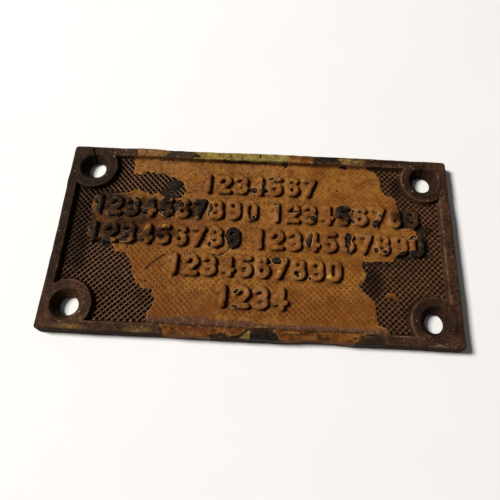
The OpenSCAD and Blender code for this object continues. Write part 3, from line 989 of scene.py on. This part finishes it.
class Graph:
    """A material's nodes, with short calls for the ones that are used often."""

    def __init__(self, name):
        self.material = bpy.data.materials.new(name)
        self.material.use_nodes = True
        self.tree = self.material.node_tree
        self.tree.nodes.clear()
        self.shader = self.node("BsdfPrincipled", {})
        self.node("OutputMaterial", {"Surface": self.shader.outputs[0]})
        self.place = self.node("TexCoord", {}).outputs["Object"]
        self.colour = None

    def join(self, node, inputs):
        """Joins each named input to a socket, or sets it to a value."""
        for key, value in inputs.items():
            if isinstance(value, bpy.types.NodeSocket):
                self.tree.links.new(value, node.inputs[key])
            else:
                node.inputs[key].default_value = value

    def node(self, kind, inputs, **settings):
        node = self.tree.nodes.new("ShaderNode" + kind)
        for key, value in settings.items():
            setattr(node, key, value)
        self.join(node, inputs)
        return node

    def scaled(self, size, stretch, shift):
        """The object's coordinates in units of size millimetres, stretched and shifted."""
        scale = [1 / (size * MM * s) for s in stretch]
        return self.node("Mapping", {"Vector": self.place, "Scale": scale, "Location": shift}).outputs[0]

    def noise(self, size, detail=4.0, rough=0.55, stretch=(1, 1, 1), seed=0.0):
        """Noise whose lumps are about size millimetres across."""
        place = self.scaled(size, stretch, (seed, seed * 1.7, seed * 0.3))
        inputs = {"Vector": place, "Scale": 1.0, "Detail": detail, "Roughness": rough}
        return self.node("TexNoise", inputs).outputs["Fac"]

    def specks(self, size, seed):
        """Distance from scattered points, in units of their spacing of size millimetres."""
        place = self.scaled(size, (1, 1, 1), (seed, seed * 0.6, seed * 1.9))
        return self.node("TexVoronoi", {"Vector": place, "Scale": 1.0}).outputs["Distance"]

    def curve(self, value, low, high, out_low=0.0, out_high=1.0):
        """Maps a value from one range to another along an even curve."""
        inputs = {"Value": value, "From Min": low, "From Max": high, "To Min": out_low, "To Max": out_high}
        return self.node("MapRange", inputs, interpolation_type="SMOOTHSTEP").outputs["Result"]

    def maths(self, operation, a, b):
        return self.node("Math", {0: a, 1: b}, operation=operation).outputs[0]

    def add(self, a, b):
        return self.maths("ADD", a, b)

    def product(self, *values):
        result = values[0]
        for value in values[1:]:
            result = self.maths("MULTIPLY", result, value)
        return result

    def axis(self, name):
        """One of the object's coordinates, in millimetres."""
        return self.product(self.node("SeparateXYZ", {0: self.place}).outputs[name], 1 / MM)

    def value(self, name):
        """A value that the mesh holds at its corners."""
        return self.node("Attribute", {}, attribute_name=name).outputs["Fac"]

    def chequer(self):
        """The chequering's rows, and its falling ridges alone: 0 in a pit's middle, 0.5 on a ridge."""
        x, y = self.axis("X"), self.axis("Y")
        sides = []
        for operation in ("ADD", "SUBTRACT"):
            along = self.product(self.maths(operation, x, y), 1 / (math.sqrt(2) * PITCH))
            sides.append(self.maths("PINGPONG", along, 0.5))
        return self.maths("MAXIMUM", *sides), sides[0]

    def blend(self, share, a, b):
        """Two tones mixed, each a screen colour, a list of linear light or a socket."""
        a, b = (linear(tone) if isinstance(tone, tuple) else tone for tone in (a, b))
        return self.node("Mix", {"Factor": share, "A": a, "B": b}, data_type="RGBA").outputs["Result"]

    def over(self, tone, *shares):
        """Lays a tone over the colour so far, by the product of some shares."""
        self.colour = self.blend(self.product(*shares), self.colour, tone)

    def bump(self, *layers):
        """Bumps from (height, depth in millimetres) pairs, one over the other."""
        lower = {}
        for height, depth in layers:
            node = self.node("Bump", {"Distance": depth * MM, "Height": height, **lower})
            lower = {"Normal": node.outputs[0]}
        self.join(self.shader, lower)

    def finish(self, roughness, metallic, level):
        inputs = {"Base Color": self.colour, "Roughness": roughness, "Metallic": metallic}
        self.join(self.shader, {**inputs, "Specular IOR Level": level})
        return self.material


def cast_brass():
    """Brown oxidised brass: dirt and painted shade in hollows, rubbed brighter on edges with a painted
    highlight on lit ridges, and black paint left on it.
    """
    g = Graph("cast_brass")
    broad, middle = g.noise(16, 5, 0.6), g.noise(5, 5, 0.65, seed=21.0)
    fine, grain = g.noise(1.8, 5, 0.65, seed=3.0), g.noise(0.8, 4, 0.75, seed=7.0)
    g.colour = g.blend(g.curve(broad, 0.36, 0.62), (52, 34, 23), (70, 46, 31))
    g.over((84, 56, 36), g.curve(middle, 0.46, 0.68, 0, 0.5))
    g.over((38, 30, 22), g.curve(middle, 0.42, 0.3, 0, 0.6))
    g.over((30, 19, 12), g.curve(fine, 0.5, 0.66, 0, 0.75))
    g.over((104, 74, 50), g.curve(fine, 0.46, 0.32, 0, 0.4))
    g.over((24, 16, 11), g.curve(grain, 0.5, 0.62, 0, 0.75))
    g.over((112, 84, 60), g.curve(grain, 0.47, 0.34, 0, 0.6))
    dull = g.blend(g.curve(g.axis("X"), -70, 60), (29, 23, 18), (23, 15, 10))
    g.over(dull, g.value("dark"), 0.74)
    g.over((134, 100, 56), g.value("stained"), g.curve(fine, 0.4, 0.6, 0.15, 0.8))
    # Rubbed metal on edges and knobs, and a painted highlight on the ridges that catch the light
    worn = g.product(g.value("worn"), g.curve(fine, 0.66, 0.36, 0.55, 1), g.curve(broad, 0.3, 0.6, 0.7, 1))
    g.over(g.blend(g.value("ruddy"), (196, 146, 107), (162, 110, 72)), worn)
    # Dirt and painted shade in pits, at the walls' foot, round the figures and in cracks
    g.over((18, 8, 4), g.value("dirt_and_shade"), 0.95)
    black = g.product(g.value("black"), g.curve(fine, 0.7, 0.5, 0.7, 1), g.curve(worn, 0.1, 0.45, 1, 0.35))
    g.over((23, 17, 13), black)
    # Pale specks on the black paint, painted as glints
    g.over((112, 88, 64), black, g.curve(grain, 0.48, 0.38), g.curve(middle, 0.4, 0.6, 0.2, 1), 0.6)
    here_and_there = g.curve(g.noise(11, 2, 0.5, seed=9.0), 0.48, 0.58)
    pale = g.product(g.curve(g.specks(3.1, 2.0), 0.16, 0.1), here_and_there, g.curve(g.axis("Z"), 5.0, 5.8))
    streaky = g.noise(0.9, 3, 0.7, (1, 1.6, 1), seed=31.0)
    # Pale scratches, and in one place a painted highlight on a countersink
    scratch_and_sheen = g.product(g.value("scratched_and_sheen"), g.curve(streaky, 0.54, 0.62))
    g.over((150, 132, 112), g.maths("MAXIMUM", pale, scratch_and_sheen), 0.7)
    lapped = g.curve(g.add(g.value("lapped"), g.curve(fine, 0.3, 0.7, -0.35, 0.35)), 0.4, 0.6)
    g.over(g.blend(g.curve(middle, 0.4, 0.6), (128, 74, 28), (92, 48, 18)), lapped)
    rough = g.add(g.curve(fine, 0.3, 0.7, 0.68, 0.86), g.product(g.add(worn, black), -0.2))
    g.bump((grain, 0.16), (fine, 0.32), (middle, 0.3))
    return g.finish(rough, g.product(worn, 0.15), 0.06)


def foot_streak(g, fine, grain):
    """The dark band of dirt along the foot of the coat, above the bottom rim."""
    wander = g.curve(g.noise(14, 3, 0.5, (1.6, 0.7, 1)), 0.3, 0.7, -0.9, 0.9)
    y = g.add(g.add(g.axis("Y"), wander), g.curve(g.axis("X"), -20, 25, -1.2, 0.2))
    band = g.curve(y, -41.6, -43.8)
    tone = g.blend(g.curve(g.axis("X"), -20, 50), (88, 61, 46), (106, 75, 54))
    g.over(tone, band, g.curve(fine, 0.25, 0.6, 0.62, 0.95))
    g.over((48, 28, 22), band, g.curve(grain, 0.46, 0.6, 0, 0.9))
    g.over((132, 92, 64), band, g.curve(fine, 0.48, 0.34, 0, 0.8))


def paint(name, tones, stain, rubbed=(148, 112, 80), torn=(150, 124, 62), shine=0.05, streak=None):
    """Old brushed oil paint in three tones: mottled, rubbed grey on high places with a painted highlight on
    lit shoulders, dirty in low ones, with painted shadow beside raised things.
    """
    g = Graph(name)
    base, light, dark, fleck = tones
    broad, middle = g.noise(24, 4, 0.55, seed=1.0), g.noise(7, 5, 0.6, seed=12.0)
    fine, grain = g.noise(2.2, 5, 0.65, seed=4.0), g.noise(0.8, 4, 0.75, seed=8.0)
    rough_side = g.curve(g.axis("X"), -20, 55, 0.75, 0.36)
    g.colour = g.blend(g.curve(broad, 0.36, 0.62), base, light)
    g.over(dark, g.curve(middle, 0.44, 0.66, 0, 0.75))
    g.over(g.blend(0.5, dark, stain), rough_side, g.curve(fine, 0.44, 0.68, 0, 1.1))
    g.over(fleck, g.curve(fine, 0.46, 0.34, 0, 0.4))
    g.over(stain, rough_side, g.curve(grain, 0.5, 0.66))
    g.over(fleck, rough_side, g.curve(grain, 0.48, 0.34))
    g.over(dark, g.value("deep"), g.curve(middle, 0.3, 0.6, 0.6, 1))
    rows, falling = g.chequer()
    show = g.value("print")
    # The chequering under the coat: painted shade and dirt in its dimples, a painted highlight on falling
    # ridges
    g.over(dark, show, show, g.curve(rows, 0.36, 0.14), 0.6)
    g.over(stain, show, show, g.curve(rows, 0.26, 0.1), 0.3)
    g.over(light, show, show, g.curve(falling, 0.3, 0.46), 0.44)
    dirty_places = g.curve(g.noise(7, 2, 0.5, seed=2.0), 0.46, 0.58)
    g.over(stain, g.curve(g.specks(2.6, 5.0), 0.15, 0.07), dirty_places, 0.85)
    chipped_places = g.curve(g.noise(8, 2, 0.5, seed=17.0), 0.46, 0.6)
    g.over(torn, g.curve(g.specks(3.1, 13.0), 0.14, 0.06), chipped_places, 0.7)
    # Grey haze, with a painted highlight on the figures' lit shoulders
    haze_and_highlight = g.product(g.value("haze_and_highlight"), g.curve(g.noise(3, 4, 0.65, seed=15.0), 0.4, 0.58))
    rubbed = g.blend(g.curve(g.noise(2.6, 4, 0.6, seed=33.0), 0.44, 0.58, 0, 0.6), rubbed, light)
    g.over(rubbed, haze_and_highlight, g.curve(grain, 0.3, 0.6, 0.5, 1))
    scuffs = g.noise(1.5, 4, 0.65, (0.8, 1.5, 1), seed=19.0)
    g.over(dark, g.value("haze_and_highlight"), g.curve(scuffs, 0.52, 0.64), 0.75)
    if streak:
        streak(g, fine, grain)
    g.over(torn, g.value("thin"), g.curve(grain, 0.3, 0.55, 0.3, 1))
    g.over((186, 144, 44), g.value("yellowed"), g.curve(fine, 0.6, 0.4, 0.3, 1))
    # Dirt, and painted shadow beside the figures and the crease and at the walls' foot
    g.over(stain, g.value("grime_and_shadow"), g.curve(fine, 0.25, 0.6, 0.55, 1))
    uneven = g.product(g.curve(middle, 0.3, 0.6, 0.7, 1), g.curve(fine, 0.34, 0.56, 0.75, 1))
    # Thick dirt, and painted shadow under torn edges and the loose flake
    g.over((34, 18, 10), g.value("soil_and_shadow"), uneven)
    brush_marks = g.noise(1.1, 3, 0.5, (2.2, 0.7, 1), seed=6.0)
    print_height = g.product(show, g.curve(rows, 0.12, 0.46))
    g.bump((print_height, 0.14), (grain, 0.13), (fine, 0.3), (brush_marks, 0.06))
    rough = g.add(g.curve(fine, 0.3, 0.7, 0.52, 0.72), g.product(haze_and_highlight, 0.15))
    return g.finish(rough, 0.0, shine)


def make_materials():
    """The finishes by name. A paint's tones are its base, light, dark and fleck."""
    dirt = (36, 20, 10)
    tan = ((134, 83, 31), (148, 97, 41), (104, 56, 20), (170, 118, 56))
    orange = ((129, 75, 28), (146, 90, 34), (78, 38, 14), (176, 122, 56))
    rim_tan = ((126, 86, 50), (138, 98, 60), (104, 68, 40), (156, 116, 76))
    yellow = ((154, 126, 52), (146, 134, 72), (124, 96, 38), (182, 162, 92))
    black = ((36, 29, 22), (50, 39, 30), (24, 19, 15), (94, 72, 54))
    grey = ((66, 50, 39), (80, 62, 48), (46, 34, 26), (112, 88, 66))
    return {
        "tan": paint("tan_paint", tan, dirt, torn=(176, 132, 84), streak=foot_streak),
        "orange": paint("orange_paint", orange, dirt),
        "rim_tan": paint("rim_tan_paint", rim_tan, dirt),
        "yellow": paint("yellow_paint", yellow, (60, 48, 28), (88, 104, 76)),
        "undercoat": paint("undercoat_paint", black, (18, 13, 10), (96, 70, 50), (70, 54, 32), 0.03),
        "grey": paint("worn_undercoat_paint", grey, (36, 26, 18), (84, 66, 50), (96, 74, 42)),
        "metal": cast_brass(),
    }


def casting_values(co):
    """Wear on ridges and edges with a painted highlight on lit ridges, dirt and painted shade in pits and
    corners, and black paint, at each corner.
    """
    x, y, z = co.T
    inset, outer, figure = recess_inset(x, y), back_inset(x, y), sample(figures, x, y)
    nick, round_top, right_wall = nicks(x, y), rubbed_round(x), smooth(70, 90, x)
    on_face, on_ground = z > 3, (inset > 0.9) & (z > 1)
    land = on_ground & (figure > 0.8)

    a, b = pit_offsets(x, y)
    off = np.maximum(a, b)
    rising, knob = smooth(-0.3, 0.3, b - a), smooth(1.35, 1.95, a + b)
    # Painted light on the ridges: the rising run lit low on the plate, the falling run lit high up
    lit_run = rising + smooth(0, 22, y + 6 * nick) * (1 - 2 * rising)
    sharp = smooth(0.78, 0.98, off) * (0.14 + 0.86 * lit_run)
    knobbed = smooth(0.6, 1.0, off) * (0.04 + 0.1 * rising + 0.86 * knob)
    ridge = land * (sharp + round_top * (knobbed - sharp))

    # Dirt and painted shade in pits, at the walls' foot and round figures, less on the lit right wall
    pit = land * smooth(0.92 - 0.05 * round_top, 0.55 - 0.3 * round_top, off)
    shaded_run = 0.35 * land * (1 - lit_run) * (1 - round_top)
    foot = (0.8 - 0.5 * right_wall) * bell(inset - 0.7, 0.5) * on_face
    near_figure = 0.8 * on_ground * smooth(1.1, 0.4, figure) * (figure > 0.1)
    dirt_and_shade = np.clip(np.maximum(pit, shaded_run) + foot + near_figure, 0, 1)
    crack = (crack_height(x, y) < -0.2) * (z > 1)

    top = (figure < 0.3) * on_ground * smooth(-2.0, 1.0, sample(field_outline, x, y))
    near_patch = smooth(-1.0, -0.2, sample(rim_outlines, x, y)) * (inset < 0) * on_face
    # Black paint; at two filled places the black is painted shadow
    black = np.maximum.reduce([top, sample(filled_and_shadowed, x, y) * on_ground, 0.9 * near_patch])
    brow = 0.85 * smooth(2.0, 0.8, outer + 0.4 * nick) * (z > 1)
    dark = np.maximum(spread(DARKENED, x, y, 62), brow)

    outer_edge = (0.3 + 0.3 * smooth(-20, 60, x)) * bell(outer - 1.1, 0.4) * on_face
    sink_edge = 0.3 * bell(hole_distance(x, y) - 8.1, 0.4)
    edge = np.maximum.reduce([bell(inset + 0.1, 0.3) * on_face, outer_edge, sink_edge])
    rubbed = (0.42 - 0.2 * right_wall) * edge * (0.6 + 0.4 * nick) * (1 - 0.4 * dark)
    worn = np.clip(ridge * (1 - 0.7 * dark) + rubbed, 0, 1) * (1 - 0.8 * black)
    bare_edge = 0.5 * bell(figure + 0.12, 0.2) * on_ground * smooth(-0.3, 0.6, nick)
    on_front = smooth(1.6, 1.0, outer) * (y < -48) * smooth(0.3, 2.5, z)
    return {
        "worn": np.clip(worn + bare_edge, 0, 1),
        "dirt_and_shade": np.maximum(dirt_and_shade, crack),
        "black": black,
        "dark": dark,
        "stained": spread(STAINED, x, y, 64) * (inset < -0.2),
        "ruddy": round_top * on_ground,
        "scratched_and_sheen": spread(SCRATCHES_AND_SHEEN, x, y, 66) * (z > 5),
        "lapped": smooth(-0.6, 0.6, sample(front_coat, x, FRONT_EDGE_Y)) * on_front,
    }


def film_values(co, inner, on_ground=True):
    """Dirt and painted shadow in corners, rubbed shoulders with a painted highlight on the lit side, thin
    broken edges and the chequering's print, at each corner.
    """
    x, y, _ = co.T
    figure, inset = sample(figures, x, y), recess_inset(x, y)
    depth, noise = sample(inner, x, y), sample(edge_noise, x, y)
    at_edge = smooth(0.5, 0.0, depth)
    if on_ground:
        hazy = haze_lumps(x, y)
        flat_ground = smooth(0.9, 1.7, figure) * smooth(1.0, 1.8, inset) * smooth(0.2, 0.8, depth)
        # The side of a figure away from the light, where its painted shadow lies
        shade = smooth(-0.2, 0.9, 0.5 - sample(figures, x - 1.3, y + 0.4))
        foot = smooth(2.1, 1.0, figure) * smooth(-0.25, 0.35, figure) * (0.2 + 0.8 * shade)
        # Painted shadow to the lower right of the crease
        crease_shadow = 0.8 * smooth(1.1, 0.2, to_lines(x - 0.6, y + 0.6, *CREASES))
        # A painted highlight on the figures' shoulders that face the light
        shoulder = 0.8 * bell(figure + 0.1, 0.45) * (0.6 + 0.4 * hazy) * (1 - 0.7 * shade)
        rubbed = (0.2 + 0.5 * smooth(-0.2, 0.8, hazy)) * (figure < 0.4)
        paler = 0.3 * spread(PALER_PLACES, x, y, 65) * flat_ground
        deep_tops = 0.8 * (figure < 0.1) * smooth(-0.2, 0.4, rim_lumps(x, y))
        thin_edge = at_edge * (0.35 + 0.3 * smooth(48, 54, x))
        values = {
            # Dirt and painted shadow at the figures' feet, beside the crease and at the recess wall's foot
            "grime_and_shadow": (foot + crease_shadow) * (1 - at_edge) + 0.7 * bell(inset - 0.9, 0.6),
            "haze_and_highlight": np.maximum.reduce([shoulder, rubbed, paler]),
            "deep": np.maximum(0.75 * spread(DEEPENED, x, y, 63), deep_tops),
            "thin": np.maximum(thin_edge, 0.95 * at_edge * (figure < 1.1)),
            "soil_and_shadow": spread(SOILED, x, y, 61),
            "print": show_through(x, y) * flat_ground * smooth(-41.4, -39.8, y),
            "yellowed": smooth(-0.2, 0.4, blobs(YELLOW_SPOTS, x, y) + 2 * noise) * (figure < 0.5),
        }
    else:
        values = {
            "grime_and_shadow": 0.55 * smooth(0.25, 0.6, paint_lumps(x, y)) * smooth(-60, -20, x),
            "haze_and_highlight": smooth(-1.6, -0.6, inset) * smooth(-21, -17, x) * (y > 0),
            "deep": np.where(y < 0, 0.5, 0.05) + 0.45 * smooth(0, 0.6, rim_lumps(x, y)),
            "thin": 0.5 * at_edge,
            **dict.fromkeys(("soil_and_shadow", "print", "yellowed"), 0 * x),
        }
    gap, torn = torn_edge(x, y)
    specks = smooth(0.0, 0.25, blobs(SPECKS, x, y) + 0.3 * noise)
    # The painted shadow under torn edges joins the soil
    values["soil_and_shadow"] = np.maximum(values["soil_and_shadow"], gap)
    values["thin"] = np.maximum.reduce([values["thin"], 0.9 * torn, specks])
    return {key: np.clip(value, 0, 1) for key, value in values.items()}


def flake_height(x, y):
    """The loose flake's surface, lifted off the ground at its right end."""
    lift = 0.25 * smooth(64, 72, x)
    return GROUND + 0.1 + lift + film_thickness(sample(flake_inset, x, y), 0.3) + 0.05 * paint_lumps(x, y)


def build(materials):
    co, faces = casting()
    values = casting_values(co)
    make_piece("plate_casting", "cast_plate", "cast_brass", co, faces, materials["metal"], values)
    co, faces = field_film()
    values = film_values(co, field_inset)
    make_piece("field_paint_film", "field_paint", "tan_paint", co, faces, materials["tan"], values)

    points = scattered(0.7, 9, lambda x, y: sample(flake_inset, x, y) > 0.4)
    co, faces = film(flake_paint, flake_height, [], points, GROUND - 0.3)
    values = film_values(co, flake_inset, False)
    values["thin"] *= 0.4
    values["soil_and_shadow"] = 0.6 * smooth(1.4, 0.4, to_lines(*co.T[:2], FLAKE_SHADE))
    make_piece("ground_flake_film", "ground_flake", "tan_paint", co, faces, materials["tan"], values)

    patches = {
        node: (finish, outline_field(outline) + 0.8 * edge_noise)
        for node, (finish, outline) in RIM_PATCHES.items()
    }
    patches["top_rim_crumbs"] = ("yellow", outline_fields(CRUMBS) + 1.9 * edge_noise - 0.4)
    for node, (finish, field) in patches.items():
        slot, thickness = FINISHES[finish]
        # The undercoats and the small yellow patch below are whole
        chipped = slot != "dark_undercoat" and node != "bottom_rim_yellow"
        co, faces, inner = rim_film(field, thickness, chipped)
        values = film_values(co, inner, False)
        if node == "bottom_rim_undercoat_right":
            values["soil_and_shadow"] = np.maximum(values["soil_and_shadow"], 0.3 * smooth(-0.5, 0.4, rim_lumps(*co.T[:2])))
        make_piece(node + "_film", node, slot, co, faces, materials[finish], values)


# Floor, light and camera

def make_floor():
    bpy.ops.mesh.primitive_plane_add(size=6, location=(0, 0, -0.00005))
    floor = bpy.context.object
    floor.name = "floor"
    g = Graph("floor_paper")
    g.colour = g.blend(g.noise(60, 3, 0.5), [0.9, 0.9, 0.9, 1], [0.94, 0.94, 0.94, 1])
    floor.data.materials.append(g.finish(0.9, 0.0, 0.2))


def make_lights():
    """A soft square key light from the upper left, and a dim even sky."""
    data = bpy.data.lights.new("key", "AREA")
    data.shape = "SQUARE"
    data.size = 0.95
    data.energy = 228
    data.color = (1.0, 0.97, 0.93)
    light = placed("key", data)
    way = Vector((-1.0, 0.24, 0.98)).normalized()
    light.location = way * 4.0
    light.rotation_euler = way.to_track_quat("Z", "Y").to_euler()
    world = bpy.data.worlds.new("studio")
    bpy.context.scene.world = world
    world.use_nodes = True
    sky = world.node_tree.nodes["Background"]
    sky.inputs["Color"].default_value = (1.0, 0.99, 0.97, 1)
    sky.inputs["Strength"].default_value = 0.085


def make_camera():
    """The photograph's camera, solved from the plate's outline in its 500 pixel frame."""
    image = 500
    focal_px = 429.2
    centre_px = 262.4
    data = bpy.data.cameras.new("camera")
    data.sensor_width = 36
    data.lens = data.sensor_width * focal_px / image
    data.shift_x = (image / 2 - centre_px) / image
    data.clip_start = 0.01
    camera = placed("camera", data)
    camera.location = (0.00626, -0.0824, 0.20822)
    camera.rotation_euler = [math.radians(a) for a in (20.76, -0.44, 2.78)]
    bpy.context.scene.camera = camera


bpy.context.scene.view_settings.view_transform = "Standard"
build(make_materials())
make_floor()
make_lights()
make_camera()
